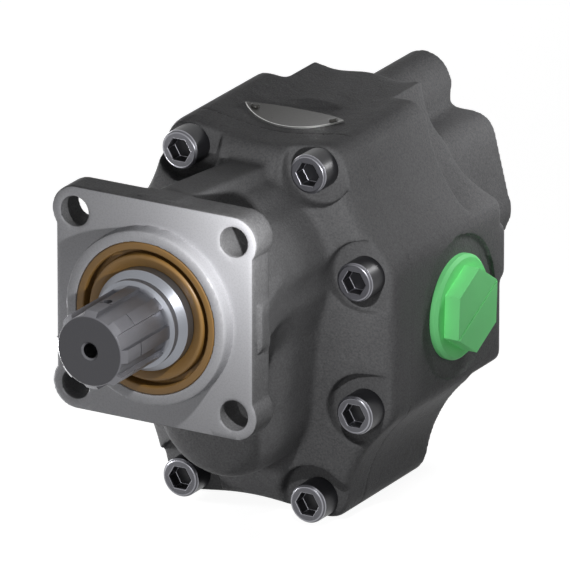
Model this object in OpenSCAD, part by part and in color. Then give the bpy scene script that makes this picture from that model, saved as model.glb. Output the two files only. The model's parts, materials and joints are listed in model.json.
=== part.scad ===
// Tandem hydraulic gear pump
// The shaft axis is Y and the front shaft points towards -Y. Z is up and X is to the right seen
// from the front. The origin is the middle of the mounting flange's front face.

/* [Gears] */
// Distance between the drive axis and the driven axis
center_distance = 62; // [56:0.5:66]
// Number of teeth of each gear
gear_teeth = 12; // [11:1:13]
// Width of both gears
gear_width = 44; // [34:1:52]
// Height of a tooth above the pitch circle
addendum = 5; // [4.4:0.1:5.2]
// Depth of a tooth space below the pitch circle
dedendum = 6.7; // [6.2:0.1:7]
// Pressure angle of the teeth
pressure_angle = 25; // [22:0.5:27]
// Running gap between the two gears' flanks, for each flank
flank_gap = 0.3; // [0.1:0.05:0.4]
// Gap between the gear tips and the chamber wall
tip_gap = 0.3; // [0.1:0.05:0.5]

/* [Mounting flange] */
// Distance between the bolt holes, the same across and up
bolt_spacing = 80; // [76:0.5:84]
// Diameter of the bolt holes
bolt_hole_d = 13; // [11:0.5:14]
// Distance from the axis to the two side edges between the ears
flange_half = 49.4; // [47:0.2:50]
// Radius of the ears round the bolt holes
ear_radius = 11.5; // [10:0.5:14]
// Thickness of the flange
flange_thickness = 15.5; // [12:0.5:20]
// Diameter of the locating pilot
pilot_d = 80; // [76:0.5:84]
// Height of the pilot in front of the flange
pilot_height = 8; // [5:0.5:10]
// Chamfer of the bolt holes' front edges
bolt_hole_chamfer = 0.8; // [0.4:0.1:1.2]

/* [Neck] */
// Outer radius of the barrel round the drive axis
barrel_radius = 41; // [39:0.5:43]
// Length of the neck behind the flange
neck_length = 64.5; // [56:0.5:76]
// Radius of the dome round the driven axis
dome_radius = 33; // [30:0.5:35]
// Length of the dome in front of the shoulder
dome_length = 29; // [22:0.5:36]
// Radius of the dome's front edge
dome_edge = 7; // [3:0.5:9]
// Width of the ribs between flange and barrel
rib_width = 20; // [14:0.5:24]
// Distance of the ribs' feet from the flange's edges
rib_inset = 1; // [0.5:0.1:2]
// Length of the side ribs
side_rib_length = 28; // [20:0.5:36]
// How far the top rib falls towards the case
top_rib_fall = 5.5; // [3:0.1:7]
// Fillet radius between barrel and flange
neck_fillet = 5; // [2:0.5:7]

/* [Case] */
// Distance from the middle plane to the port faces
case_half_width = 69; // [67:0.5:74]
// Height of the port faces above the drive axis
side_top = 5.5; // [3:0.5:9]
// Height of the four crests beyond the gear axes
crest_height = 57; // [56:0.5:62]
// Depth of the hollow between two crests
crest_hollow = 4.7; // [2:0.1:6]
// Radius of the hollow between two crests
hollow_radius = 100; // [90:1:140]
// Distance from the middle plane to a crest's outer edge
crest_edge = 45.1; // [44:0.1:47]
// Radius of the large scallop at each corner
scallop_radius = 67; // [60:0.5:80]
// Radius of the crests
crest_radius = 8; // [5:0.5:9]
// Rise of the shoulder from the rim to the neck
shoulder_rise = 9; // [5:0.5:11]
// Thickness of the cover's rim
rim_thickness = 16; // [14:0.5:20]
// Length of the body behind the cover
body_length = 83; // [80:0.5:92]
// Length of the rear step behind the scallops
step_length = 26.5; // [20:0.5:30]
// Radius of the deeper scallop behind the step
step_radius = 57; // [55:0.1:59]
// Radius of the fillet at the foot of the step
step_fillet = 3; // [1:0.5:9]
// Place of the deeper scallop's axis, across and up
step_axis_x = 84; // [82:0.5:88]
step_axis_z = 61; // [59:0.5:64]
// Depth of the cover's register in the chamber
register_depth = 13; // [8:0.5:16]

/* [Cover screws] */
// Place of the corner screws beyond the gear axes, across and up
corner_screw_x = 32.5; // [31:0.5:34]
corner_screw_z = 46; // [45:0.5:47]
// Place of the side screws, across
side_screw_x = 56; // [55:0.5:57]
// Diameter of the screws
screw_d = 12; // [10:0.5:13]
// Diameter of the screw heads
screw_head_d = 18; // [17:0.5:20]
// Chamfer of the screw heads
head_chamfer = 1; // [0.4:0.1:1.5]
// Hexagon of the screw heads, across flats
screw_hex = 10; // [8:0.5:11]
// Length of the screw thread in the body, and how much deeper its hole is
screw_reach = 34; // [24:1:38]
screw_spare = 4; // [2:0.5:6]
// Radius of the pocket round a screw head
pocket_radius = 16.5; // [14:0.5:17]
// Diameter and length of the two dowels
dowel_d = 9; // [6:0.5:10]
dowel_length = 20; // [14:1:24]
// Distance of the dowels from the middle plane
dowel_x = 58; // [56:0.5:60]

/* [Rear pad] */
// Length of the pad behind the body
pad_length = 52; // [44:0.5:60]
// Diameter of the circle of the three tapped holes
pad_circle_d = 72.6; // [70:0.2:74]
// Angle of the two lower holes from the horizontal
pad_low_angle = 29.8; // [26:0.2:33]
// Diameter and depth of the tapped holes
pad_hole_d = 8.5; // [7:0.1:9]
pad_hole_depth = 24; // [16:1:30]
// Chamfer of the tapped holes
pad_hole_chamfer = 1; // [0.4:0.1:1.5]
// Radius of the lobe round each tapped hole
pad_lobe = 13.3; // [12:0.1:14]
// Height of the pad's shoulders and half the width there
pad_shoulder_z = 25.5; // [24:0.5:27]
pad_shoulder_x = 34; // [32:0.5:36]
// Radius of the shoulders' corners
pad_shoulder_radius = 6; // [3:0.5:7]
// Radius of the pad's convex lower edge and its lowest point
pad_low_radius = 75; // [65:1:90]
pad_low_z = 40.8; // [38:0.2:42]
// Diameter of the pad's bore
pad_bore_d = 41; // [38:0.5:42]
// Diameter and depth of the shallow recess round the bore
pad_ring_d = 52.6; // [50:0.2:56]
pad_ring_depth = 0.6; // [0.4:0.1:1.2]
// Length and radius of the round boss behind the driven shaft
boss_length = 38; // [34:0.5:42]
boss_radius = 31; // [29:0.5:33]
// Radius of the boss's rear edge
boss_edge = 6; // [3:0.5:8]
// Height and thickness of the raised band beside the pad
band_height = 26; // [18:0.5:32]
band_thickness = 4; // [2:0.5:6]

/* [Ports] */
// Diameter of the thread in the left and in the right port
left_port_d = 42; // [38:0.5:44]
right_port_d = 33; // [30:0.5:36]
// Depth of the port threads
port_depth = 20; // [16:0.5:24]
// Step from a port's thread to the passage behind it, for the radius
passage_step = 4; // [3:0.5:6]
// Diameter and depth of the spot faces
spot_d = 65; // [60:0.5:70]
spot_depth = 1.5; // [1:0.1:2]
// Diameter of the left and of the right plug's rim
left_rim_d = 51; // [49:0.5:56]
right_rim_d = 48; // [42:0.5:52]
// Thickness of the plugs' rims and the chamfer of their edge
plug_rim = 3.8; // [3:0.1:6]
plug_rim_chamfer = 1.4; // [0.5:0.1:2]
// Hexagon of the left and of the right plug, across flats
left_plug_hex = 41; // [36:0.5:42]
right_plug_hex = 34; // [28:0.5:38]
// Height of the hexagons
plug_hex_height = 7.5; // [6:0.5:10]
// Turn of the left and of the right plug about its axis
left_plug_turn = 45; // [0:1:360]
right_plug_turn = 117; // [0:1:360]
// Width and depth of the line across the plugs' hexagons
plug_line = 0.6; // [0.4:0.1:1]
// Length of the plugs in the ports
plug_reach = 13; // [8:0.5:15]
// Wall of the plugs, and their gap to the port
plug_wall = 3; // [2:0.5:5]
plug_gap = 0.1; // [0.05:0.05:0.3]

/* [Shafts] */
// Length of the front shaft in front of the flange
front_length = 55; // [50:0.5:65]
// Major and minor diameter of the front spline
spline_d = 36; // [35:0.5:37]
spline_core_d = 32; // [31:0.5:33]
// Number and width of the front splines
spline_count = 8; // [6:1:8]
spline_width = 6; // [5:0.5:7]
// Diameter and length of the collar in front of the seal
collar_d = 40; // [38:0.5:42]
collar_length = 4; // [2:0.5:6]
// How far the collar stands in front of the pilot
collar_lead = 5; // [4:0.5:8]
// Length of the tapers behind the collar and in front of the rear spline
collar_taper = 3; // [1:0.5:3.5]
rear_taper = 2; // [1:0.5:3]
// Journal diameter of the drive shaft in the seals and the front bushes
front_journal_d = 46; // [44:0.5:46.5]
// Journal diameter of the driven shaft and of the drive shaft's rear end
journal_d = 36; // [33:0.5:37]
// Diameter in the rear seal
rear_seal_d = 26; // [25:0.5:28]
// Outer and root diameter of the rear spline
rear_spline_d = 24.5; // [23:0.5:25]
rear_spline_root_d = 21.8; // [21:0.2:22.5]
// Number of teeth of the rear spline, and how far they reach into the pad
rear_spline_count = 14; // [12:1:16]
rear_spline_inside = 9; // [6:0.5:12]
// Chamfer of the front spline's end and of the rear spline's end
front_end_chamfer = 2.5; // [1:0.5:3]
rear_end_chamfer = 2; // [1:0.5:3]
// Length of the rear shaft beyond the pad
rear_projection = 14; // [10:0.5:20]
// Diameter and depth of the front shaft's tapped centre hole
front_hole_d = 6.8; // [6:0.1:8]
front_hole_depth = 22; // [14:0.5:26]
// Diameter and depth of the rear shaft's tapped centre hole
rear_hole_d = 6.6; // [6:0.1:9]
rear_hole_depth = 18; // [12:0.5:22]
// Diameter of the cross hole in the front spline and its distance from the tip
cross_hole_d = 4; // [3:0.1:5]
cross_hole_y = 16; // [12:0.5:22]
// Distance of the scribed line from the tip, and its width and depth
scribe_y = 13.5; // [10:0.5:20]
scribe_width = 0.6; // [0.4:0.1:1]
scribe_depth = 0.3; // [0.2:0.1:0.5]

/* [Bearings and seals] */
// Wall of the bearing bushes
bush_wall = 3.5; // [3:0.1:3.7]
// Length of the bushes beside the gears
bush_length = 36; // [28:1:38]
// Length of the bush behind the shaft seals, and its distance from them
neck_bush_length = 26; // [20:1:32]
neck_bush_gap = 4; // [2:0.5:8]
// Depth of the relief in front of the driven shaft
shaft_relief = 8; // [4:0.5:10]
// Running clearance of journals, for the radius
journal_gap = 0.05; // [0.02:0.01:0.1]
// Thickness of the thrust plates
plate_thickness = 7.8; // [6:0.1:9]
// Gap between a gear and each thrust plate
side_gap = 0.2; // [0.1:0.05:0.3]
// Gap between the thrust plates and the chamber wall
plate_gap = 0.15; // [0.1:0.05:0.3]
// Width and depth of the balance seals, and their distance from the plates' edge
balance_width = 2.4; // [1.6:0.1:3]
balance_depth = 2; // [1:0.1:3]
balance_edge = 1.7; // [1.2:0.1:2.4]
// Width and depth of the cover seal, and its distance from the chamber
cover_seal_width = 3; // [2:0.1:3.4]
cover_seal_depth = 2.2; // [1.6:0.1:3]
cover_seal_gap = 3.5; // [2.5:0.1:4]
// Outer diameter of the front shaft seals
seal_d = 70; // [68:0.5:71]
// Width of each front shaft seal
seal_width = 10; // [7:0.5:11]
// Thickness of the ring between the front shaft seals, and its gap to the shaft
spacer = 1.8; // [1:0.1:3]
spacer_gap = 2; // [1:0.5:4]
// Width of the rear shaft seal, and its distance from the bush
rear_seal_width = 8; // [6:0.5:9]
rear_seal_gap = 2; // [1:0.5:4]
// Thickness and wall of the ring behind the rear shaft seal
rear_ring = 2; // [1:0.1:3]
rear_ring_wall = 3; // [2:0.5:5]

/* [Name plate] */
// Length, width and thickness of the blank plate
plate_length = 50; // [40:1:56]
plate_width = 23; // [18:1:28]
plate_sheet = 0.8; // [0.5:0.1:1.2]
// Distance of the plate's middle from the cover joint
plate_place = 17; // [14:0.5:40]
// Distance between the rivets
rivet_spacing = 40; // [34:1:44]
// Diameter of the rivet heads and of their shanks
rivet_head_d = 4.6; // [4:0.1:6]
rivet_shank_d = 2.4; // [2:0.1:3]
// Depth of the rivets in the body
rivet_depth = 4; // [3:0.5:5]

/* [Hidden] */
$fn = 96;
cut = 1; // how far a cut runs past the face it opens

casting = [0.2, 0.2, 0.21];
steel = [0.55, 0.56, 0.58];
bronze = [0.62, 0.5, 0.3];
rubber = [0.08, 0.08, 0.09];
seal_brown = [0.5, 0.33, 0.16];
plug_green = [0.45, 0.78, 0.48];

// Places along the shaft axis
pilot_y = -pilot_height;
shoulder_y = flange_thickness + neck_length;
rim_y = shoulder_y + shoulder_rise;
joint_y = rim_y + rim_thickness;
rear_y = joint_y + body_length;
step_y = rear_y - step_length;
pad_y = rear_y + pad_length;
boss_y = rear_y + boss_length;
register_y = joint_y + register_depth;
gear_front = register_y + plate_thickness + side_gap;
gear_rear = gear_front + gear_width;
gear_middle = (gear_front + gear_rear) / 2;
chamber_y = gear_rear + side_gap + plate_thickness;
dome_y = shoulder_y - dome_length;
front_bush_y = register_y - bush_length;
rear_bush_y = chamber_y + bush_length;
front_tip = -front_length;
rear_tip = pad_y + rear_projection;

// Height of the flange's upper edge, just under the ears' highest points
flange_reach = bolt_spacing / 2 + ear_radius - 0.05;

// The drive axis is at z = 0 and the driven axis below it
driven_z = -center_distance;
middle_z = driven_z / 2;

// Gears
pitch_radius = center_distance / 2;
tip_radius = pitch_radius + addendum;
root_radius = pitch_radius - dedendum;
base_radius = pitch_radius * cos(pressure_angle);
chamber_radius = tip_radius + tip_gap;
plate_radius = chamber_radius - plate_gap;

// Case outline
hollow_z = crest_height - crest_hollow + hollow_radius;
scallop_x = crest_edge + scallop_radius;
scallop_z = side_top + sqrt(pow(scallop_radius, 2) - pow(scallop_x - case_half_width, 2));
crest_z = crest_height - crest_radius;
crest_x = scallop_x - sqrt(pow(scallop_radius + crest_radius, 2) - pow(scallop_z - crest_z, 2));

// Seals and bores
seal_y = pilot_y + 0.3;
spacer_y = seal_y + seal_width;
inner_seal_y = spacer_y + spacer;
seal_end = inner_seal_y + seal_width;
front_bore_r = front_journal_d / 2 + journal_gap + bush_wall;
rear_bore_r = journal_d / 2 + journal_gap + bush_wall;
neck_bush_y = seal_end + neck_bush_gap;
rear_seal_y = rear_bush_y + rear_seal_gap;
balance_r = plate_radius - balance_edge - balance_width;
cover_seal_r = chamber_radius + cover_seal_gap;

// Rear pad: direction of each tapped hole
pad_r = pad_circle_d / 2;
pad_holes = [90, -pad_low_angle, 180 + pad_low_angle];
pad_shoulder_fillet_x = 21;
pad_fillet = (pow(pad_shoulder_fillet_x, 2) + pow(pad_r - pad_shoulder_z, 2) - pow(pad_lobe, 2))
    / (2 * (pad_lobe + pad_r - pad_shoulder_z));

// Dowels and screws
screw_y = rim_y;
screw_tip = joint_y + screw_reach;

function polar(r, a) = [r * cos(a), r * sin(a)];
// Angle that an involute from the base circle has turned at radius r
function involute(r) = let (a = acos(min(1, base_radius / r))) tan(a) * 180 / PI - a;

// Placing helpers: a flat shape is drawn in x and z, and a turned profile in radius and y
module prism_y(from, to) translate([0, to, 0]) rotate([90, 0, 0]) linear_extrude(to - from) children();
module rod_y(from, to, r, r2 = -1, at = [0, 0]) translate([at[0], from, at[1]])
    rotate([-90, 0, 0]) cylinder(h = to - from, r1 = r, r2 = r2 < 0 ? r : r2);
module turned_y(at = [0, 0]) translate([at[0], 0, at[1]]) rotate([-90, 0, 0]) rotate_extrude() children();
module both_sides() {
    children();
    mirror([1, 0, 0]) children();
}
// Repeats a flat shape at the other end of the case, mirrored about the middle between the axes
module both_ends() {
    children();
    translate([0, 2 * middle_z]) mirror([0, 1]) children();
}
module on_both_axes() {
    children();
    translate([0, driven_z]) children();
}

// Flat shape of the case between cover and body, with hollows and scallops
module case_outline() difference() {
    translate([-case_half_width, driven_z - crest_height])
        square([2 * case_half_width, center_distance + 2 * crest_height]);
    both_ends() {
        translate([0, hollow_z]) circle(hollow_radius);
        both_sides() {
            translate([scallop_x, scallop_z]) circle(scallop_radius);
            crest_corner();
        }
    }
}

// What a crest's rounding takes away
module crest_corner() {
    tangent = [crest_x, crest_z] + crest_radius
        * [scallop_x - crest_x, scallop_z - crest_z] / (scallop_radius + crest_radius);
    difference() {
        polygon([[crest_x, crest_z], tangent, [tangent[0] + cut, crest_height + cut],
            [crest_x, crest_height + cut]]);
        translate([crest_x, crest_z]) circle(crest_radius);
    }
}

module figure_eight(r) on_both_axes() circle(r);

// Closed loop of width w inside the figure eight of radius r
module loop(r, w) difference() {
    figure_eight(r);
    figure_eight(r - w);
}

module flange_outline() {
    square([2 * flange_half, bolt_spacing], center = true);
    square([bolt_spacing, 2 * flange_reach], center = true);
    for (x = [-1, 1], z = [-1, 1]) translate([x, z] * bolt_spacing / 2) circle(ear_radius);
}

// Places of the eight cover screws
screw_places = [for (end = [0, 1], side = [-1, 1])
    each [[side * corner_screw_x, end ? driven_z - corner_screw_z : corner_screw_z],
        [side * side_screw_x, end ? driven_z : 0]]];

// The tapered web between barrel and dome, bounded by the two circles' common tangents
module neck_outline(r_dome) {
    lean = asin((barrel_radius - r_dome) / center_distance);
    normal = [cos(lean), -sin(lean)];
    high = barrel_radius * normal;
    low = r_dome * normal + [0, driven_z];
    circle(barrel_radius);
    translate([0, driven_z]) circle(r_dome);
    polygon([high, low, [-low[0], low[1]], [-high[0], high[1]]]);
}

// Rounded front end of the dome
module dome() turned_y([0, driven_z]) {
    translate([0, dome_y + dome_edge]) square([dome_radius, rim_y - dome_y - dome_edge]);
    translate([0, dome_y]) square([dome_radius - dome_edge, dome_edge + cut]);
    intersection() {
        translate([dome_radius - dome_edge, dome_y + dome_edge]) circle(dome_edge);
        translate([dome_radius - dome_edge, dome_y]) square(dome_edge);
    }
}

// Ribs from the flange to the barrel and to the dome, which all rise towards the flange
module ribs() {
    side_foot = flange_half - rib_inset;
    foot = flange_reach - rib_inset;
    side_end = flange_thickness + side_rib_length;
    for (side = [-1, 1]) translate([0, 0, -rib_width / 2]) linear_extrude(rib_width)
        polygon([[0, flange_thickness - cut], [side * side_foot, flange_thickness - cut],
            [side * side_foot, flange_thickness], [side * (barrel_radius - cut), side_end],
            [0, side_end]]);
    translate([-rib_width / 2, 0, 0]) rotate([90, 0, 90]) linear_extrude(rib_width)
        polygon([[flange_thickness - cut, 0], [flange_thickness - cut, foot],
            [shoulder_y, foot - top_rib_fall], [shoulder_y, 0]]);
    translate([-rib_width / 2, 0, 0]) rotate([90, 0, 90]) linear_extrude(rib_width)
        polygon([[flange_thickness - cut, 0], [flange_thickness - cut, -foot],
            [dome_y + dome_edge, driven_z + dome_edge], [dome_y + dome_edge, 0]]);
}

// Concave fillet where the barrel meets the flange
module barrel_fillet() turned_y() difference() {
    translate([barrel_radius - cut, flange_thickness - cut]) square(neck_fillet + cut);
    translate([barrel_radius + neck_fillet, flange_thickness + neck_fillet]) circle(neck_fillet);
}

// Rim of the cover, whose shoulder falls away from the neck to the edges
module cover_rim() difference() {
    prism_y(shoulder_y, joint_y) case_outline();
    slope_foot = 38;
    far = 2 * case_half_width;
    fall = shoulder_rise / (case_half_width - slope_foot) * (far - slope_foot);
    both_sides() translate([0, 0, driven_z - far]) linear_extrude(center_distance + 2 * far)
        polygon([[slope_foot, shoulder_y], [slope_foot, shoulder_y - cut], [far, shoulder_y - cut],
            [far, shoulder_y + fall]]);
    for (end = [0, 1]) translate([0, 0, end * 2 * middle_z]) mirror([0, 0, end])
        translate([-far, 0, 0]) rotate([90, 0, 90]) linear_extrude(2 * far)
            polygon([[shoulder_y, barrel_radius], [shoulder_y - cut, barrel_radius],
                [shoulder_y - cut, crest_height + cut],
                [rim_y, crest_height + cut], [rim_y, crest_height]]);
}

// Flat floors round the cover screws, each open towards the outside
module pocket_outline() for (at = screw_places) {
    out = atan2(at[1] - (at[1] > middle_z ? 0 : driven_z), at[0]);
    mouth = pocket_radius - 0.6;
    translate(at) {
        circle(pocket_radius);
        rotate(out) translate([0, -mouth]) square(2 * mouth);
    }
}

// Sub-parts

module front_cover() color(casting) difference() {
    union() {
        prism_y(0, flange_thickness) flange_outline();
        rod_y(pilot_y, flange_thickness, pilot_d / 2);
        difference() {
            union() {
                rod_y(flange_thickness - cut, rim_y, barrel_radius);
                prism_y(dome_y + dome_edge, rim_y) neck_outline(dome_radius);
                dome();
                cover_rim();
            }
            prism_y(dome_y - 1, rim_y) pocket_outline();
        }
        ribs();
        barrel_fillet();
        prism_y(joint_y - cut, register_y) figure_eight(chamber_radius - 0.02);
    }
    for (x = [-1, 1], z = [-1, 1]) {
        rod_y(-cut, flange_thickness + cut, bolt_hole_d / 2, at = [x, z] * bolt_spacing / 2);
        rod_y(-cut, bolt_hole_chamfer, bolt_hole_d / 2 + bolt_hole_chamfer + cut, bolt_hole_d / 2,
            at = [x, z] * bolt_spacing / 2);
    }
    rod_y(pilot_y - cut, seal_end, seal_d / 2);
    rod_y(seal_end - cut, register_y + cut, front_bore_r);
    rod_y(front_bush_y, register_y + cut, rear_bore_r, at = [0, driven_z]);
    rod_y(front_bush_y - shaft_relief, register_y, journal_d / 2, at = [0, driven_z]);
    for (at = screw_places) rod_y(rim_y - cut, joint_y + cut, screw_d / 2 + 0.5, at = at);
    dowel_holes();
    prism_y(joint_y - cover_seal_depth, joint_y + cut) loop(cover_seal_r + cover_seal_width, cover_seal_width);
}

module dowel_holes() for (side = [-1, 1])
    rod_y(joint_y - dowel_length / 2, joint_y + dowel_length / 2, dowel_d / 2,
        at = [side * dowel_x, middle_z]);

// The deeper scallops that narrow the body behind the step, with a fillet at the step's foot
module step_scallops() both_sides() for (end = [0, 1]) translate([0, 0, end * 2 * middle_z])
    mirror([0, 0, end]) turned_y([step_axis_x, step_axis_z]) {
        inner = step_radius - step_fillet;
        translate([0, step_y]) square([inner, step_length + cut]);
        translate([0, step_y + step_fillet]) square([step_radius, step_length - step_fillet + cut]);
        intersection() {
            translate([inner, step_y + step_fillet]) circle(step_fillet);
            translate([inner, step_y]) square(step_fillet);
        }
    }

// What rounding takes away at the corner p between edges in the directions u and v
module corner_cut(p, u, v, r) {
    half = acos(u * v) / 2;
    middle = p + (u + v) / norm(u + v) * r / sin(half);
    reach = r / tan(half);
    difference() {
        polygon([middle, p + u * reach, p - (u + v) * cut, p + v * reach]);
        translate(middle) circle(r);
    }
}

module pad_outline() difference() {
    lobe_top = polar(pad_r, pad_holes[0]);
    low = polar(pad_r, pad_holes[1]);
    union() {
        for (a = pad_holes) translate(polar(pad_r, a)) circle(pad_lobe);
        polygon([lobe_top, [pad_shoulder_fillet_x, pad_shoulder_z + cut], [pad_shoulder_fillet_x, 0],
            [-pad_shoulder_fillet_x, 0], [-pad_shoulder_fillet_x, pad_shoulder_z + cut]]);
        intersection() {
            polygon([[-pad_shoulder_x, pad_shoulder_z], [pad_shoulder_x, pad_shoulder_z],
                [low[0] + pad_lobe, low[1]], [low[0] + pad_lobe / 2, -pad_low_z],
                [-low[0] - pad_lobe / 2, -pad_low_z], [-low[0] - pad_lobe, low[1]]]);
            translate([0, pad_low_radius - pad_low_z]) circle(pad_low_radius);
        }
    }
    shoulder = [pad_shoulder_x, pad_shoulder_z];
    slant = [low[0] + pad_lobe, low[1]] - shoulder;
    both_sides() {
        translate([pad_shoulder_fillet_x, pad_shoulder_z + pad_fillet - 0.05]) circle(pad_fillet);
        corner_cut(shoulder, [-1, 0], slant / norm(slant), pad_shoulder_radius);
    }
}

module rear_boss() turned_y([0, driven_z]) {
    translate([0, rear_y - cut]) square([boss_radius, boss_length + cut - boss_edge]);
    translate([0, boss_y - boss_edge - cut]) square([boss_radius - boss_edge, boss_edge + cut]);
    intersection() {
        translate([boss_radius - boss_edge, boss_y - boss_edge]) circle(boss_edge);
        translate([boss_radius - boss_edge, boss_y - boss_edge]) square(boss_edge);
    }
}

module side_band() translate([-case_half_width, rear_y - cut, middle_z])
    cube([2 * case_half_width, band_thickness + cut, band_height]);

// Port in the right side with a thread of diameter d
module port_bore(d) translate([0, gear_middle, middle_z]) rotate([0, 90, 0]) {
    cylinder(h = case_half_width, d = d - 2 * passage_step);
    translate([0, 0, case_half_width - spot_depth]) cylinder(h = spot_depth + cut, d = spot_d);
    translate([0, 0, case_half_width - port_depth]) cylinder(h = port_depth + cut, d = d);
}

module pump_body() color(casting) difference() {
    union() {
        difference() {
            prism_y(joint_y, rear_y) case_outline();
            step_scallops();
        }
        prism_y(rear_y - cut, pad_y) pad_outline();
        rear_boss();
        side_band();
    }
    prism_y(joint_y - cut, chamber_y) figure_eight(chamber_radius);
    port_bore(right_port_d);
    mirror([1, 0, 0]) port_bore(left_port_d);
    rod_y(chamber_y - cut, rear_bush_y, rear_bore_r);
    rod_y(chamber_y - cut, rear_bush_y, rear_bore_r, at = [0, driven_z]);
    rod_y(rear_bush_y - cut, pad_y + cut, pad_bore_d / 2);
    rod_y(pad_y - pad_ring_depth, pad_y + cut, pad_ring_d / 2);
    for (a = pad_holes) {
        rod_y(pad_y - pad_hole_depth, pad_y + cut, pad_hole_d / 2, at = polar(pad_r, a));
        rod_y(pad_y - pad_hole_chamfer, pad_y + cut, pad_hole_d / 2,
            pad_hole_d / 2 + pad_hole_chamfer + cut, at = polar(pad_r, a));
    }
    for (at = screw_places) rod_y(joint_y - cut, screw_tip + screw_spare, screw_d / 2, at = at);
    dowel_holes();
    rivet_shanks();
}

// One gear with a tooth towards the angle given
module gear(facing) {
    pitch = 360 / gear_teeth;
    half = pitch / 4 - flank_gap / pitch_radius * 180 / PI + involute(pitch_radius);
    steps = 5;
    radii = [for (i = [0:steps]) base_radius + (tip_radius - base_radius) * i / steps];
    rotate(facing) {
        circle(root_radius);
        for (k = [0:gear_teeth - 1]) rotate(k * pitch)
            polygon(concat([polar(root_radius - cut, -half)],
                [for (r = radii) polar(r, involute(r) - half)],
                [for (i = [steps:-1:0]) polar(radii[i], half - involute(radii[i]))],
                [polar(root_radius - cut, half)]));
    }
}

// Shaft with its ends chamfered: a turned profile from [radius, y] pairs
module turned_shaft(points) rotate([-90, 0, 0]) rotate_extrude()
    polygon(concat([[0, points[0][1]]], points, [[0, points[len(points) - 1][1]]]));

module front_spline_outline() intersection() {
    circle(d = spline_d);
    union() {
        circle(d = spline_core_d);
        for (k = [0:spline_count - 1]) rotate(90 + k * 360 / spline_count)
            translate([0, -spline_width / 2]) square([spline_d, spline_width]);
    }
}

module rear_spline_outline() {
    half = 360 / rear_spline_count / 4;
    circle(d = rear_spline_root_d);
    for (k = [0:rear_spline_count - 1]) rotate(90 + k * 360 / rear_spline_count)
        polygon([polar(rear_spline_root_d / 2 - cut, -half * 1.5), polar(rear_spline_d / 2, -half * 0.7),
            polar(rear_spline_d / 2, half * 0.7), polar(rear_spline_root_d / 2 - cut, half * 1.5)]);
}

module drive_shaft() color(steel) {
    collar_y = pilot_y - collar_lead;
    spline_end = collar_y - collar_length;
    rear_spline_y = pad_y - rear_spline_inside;
    difference() {
        union() {
            intersection() {
                prism_y(front_tip, spline_end) front_spline_outline();
                turned_shaft([[spline_d / 2 - front_end_chamfer, front_tip],
                    [spline_d / 2, front_tip + front_end_chamfer], [spline_d / 2, spline_end]]);
            }
            turned_shaft([[spline_d / 2, spline_end], [collar_d / 2, spline_end + 1],
                [collar_d / 2, collar_y], [front_journal_d / 2, collar_y + collar_taper],
                [front_journal_d / 2, gear_front], [journal_d / 2, gear_front + cut],
                [journal_d / 2, rear_bush_y], [rear_seal_d / 2, rear_bush_y + 0.5],
                [rear_seal_d / 2, rear_spline_y - rear_taper], [rear_spline_root_d / 2, rear_spline_y]]);
            prism_y(gear_front, gear_rear) gear(-90);
            intersection() {
                prism_y(rear_spline_y - 1, rear_tip) rear_spline_outline();
                turned_shaft([[rear_spline_d / 2, rear_spline_y - 1],
                    [rear_spline_d / 2, rear_tip - rear_end_chamfer],
                    [rear_spline_d / 2 - rear_end_chamfer, rear_tip]]);
            }
        }
        rod_y(front_tip - cut, front_tip + front_hole_depth, front_hole_d / 2);
        rod_y(front_tip - cut, front_tip + cut, front_hole_d / 2 + 2 * cut, front_hole_d / 2);
        translate([0, front_tip + cross_hole_y, 0]) cylinder(h = spline_d, d = cross_hole_d);
        turned_y() translate([spline_d / 2 - scribe_depth, front_tip + scribe_y])
            square([cut, scribe_width]);
        rod_y(rear_tip - rear_hole_depth, rear_tip + cut, rear_hole_d / 2);
        rod_y(rear_tip - cut, rear_tip + cut, rear_hole_d / 2, rear_hole_d / 2 + 2 * cut);
    }
}

module driven_shaft() color(steel) {
    end = 0.5;
    translate([0, 0, driven_z]) {
        turned_shaft([[journal_d / 2 - 1, front_bush_y + end], [journal_d / 2, front_bush_y + end + 1],
            [journal_d / 2, rear_bush_y - end - 1], [journal_d / 2 - 1, rear_bush_y - end]]);
        prism_y(gear_front, gear_rear) gear(90 + 180 / gear_teeth);
    }
}

// Plate beside the gears, from y, with a seal groove in the face that turns away from the gears
module thrust_plate(from, drive_r, groove_y) color(bronze) difference() {
    prism_y(from, from + plate_thickness) figure_eight(plate_radius);
    rod_y(from - cut, from + plate_thickness + cut, drive_r);
    rod_y(from - cut, from + plate_thickness + cut, journal_d / 2 + 0.3, at = [0, driven_z]);
    prism_y(groove_y, groove_y + balance_depth) loop(balance_r + balance_width, balance_width);
}
rear_plate_y = chamber_y - plate_thickness;
module front_thrust_plate() thrust_plate(register_y, front_journal_d / 2 + 0.3, register_y);
module rear_thrust_plate() thrust_plate(rear_plate_y, journal_d / 2 + 0.3, chamber_y - balance_depth);
module balance_seal(from) color(rubber)
    prism_y(from, from + balance_depth) loop(balance_r + balance_width, balance_width);
module front_balance_seal() balance_seal(register_y);
module rear_balance_seal() balance_seal(chamber_y - balance_depth);
module cover_seal() color(rubber) prism_y(joint_y - cover_seal_depth, joint_y)
    loop(cover_seal_r + cover_seal_width, cover_seal_width);

// Bearing bush round a journal of radius r
module bush(from, length, r, z) color(bronze) difference() {
    rod_y(from, from + length, r + journal_gap + bush_wall, at = [0, z]);
    rod_y(from - cut, from + length + cut, r + journal_gap, at = [0, z]);
}
module neck_bush() bush(neck_bush_y, neck_bush_length, front_journal_d / 2, 0);
module drive_front_bush() bush(front_bush_y, bush_length, front_journal_d / 2, 0);
module drive_rear_bush() bush(chamber_y, bush_length, journal_d / 2, 0);
module driven_front_bush() bush(front_bush_y, bush_length, journal_d / 2, driven_z);
module driven_rear_bush() bush(chamber_y, bush_length, journal_d / 2, driven_z);

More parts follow.
